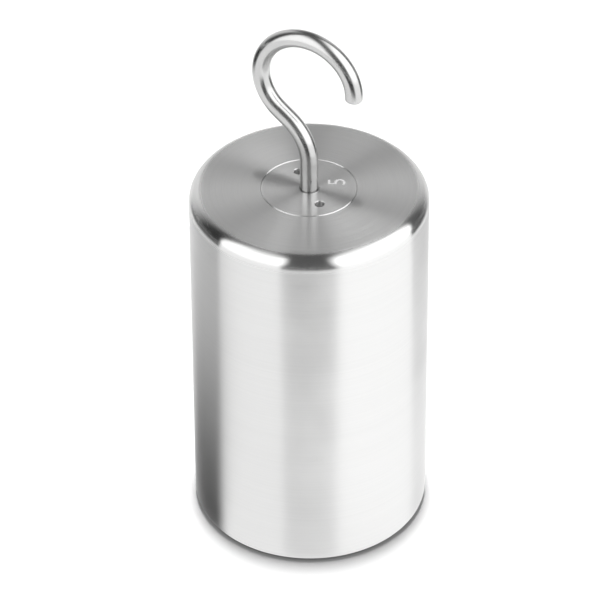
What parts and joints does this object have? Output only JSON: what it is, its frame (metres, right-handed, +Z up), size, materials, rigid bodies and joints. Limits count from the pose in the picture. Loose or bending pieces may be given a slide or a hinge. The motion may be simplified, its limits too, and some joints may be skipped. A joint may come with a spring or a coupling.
{
  "type": "calibration weight",
  "caption": "Turned stainless steel test weight with a rod hook, shut flush by a screwed plug over its adjusting cavity; hangs from a balance or spring scale to check it.",
  "frame": {"origin": "centre of the flat base, on the surface the weight stands on", "axes": "+Z up along the turned axis towards the hook; the hook is bent in the XZ plane with its mouth on the +X side"},
  "size_m": [0.08, 0.08, 0.192],
  "materials": {
    "turned_steel": "fine turned stainless steel, faced rings on top and drawn round the side",
    "plug_steel": "fine faced stainless steel",
    "seal_rubber": "smooth black rubber",
    "polished_rod": "drawn and polished stainless steel rod",
    "nut_steel": "plain stainless steel",
    "shot_steel": "bright steel shot"
  },
  "bodies": {
    "weight": {"weight_body": "turned_steel", "adjusting_shot": "shot_steel"},
    "seal": {"seal_ring": "seal_rubber"},
    "closure": {"adjusting_plug": "plug_steel", "lifting_hook": "polished_rod", "lock_nut": "nut_steel"}
  },
  "joints": [
    {"name": "closure_rise", "type": "slide", "parent": "weight", "child": "seal", "axis": [0, 0, 1], "range_m": [0, 0.009]},
    {"name": "closure_turn", "type": "hinge", "parent": "seal", "child": "closure", "pos_m": [0, 0, 0.13], "axis": [0, 0, 1], "range_deg": [0, 2160]}
  ],
  "couplings": [
    {"joint": "closure_turn", "follows": "closure_rise", "rad_per_m": 4188.8}
  ]
}
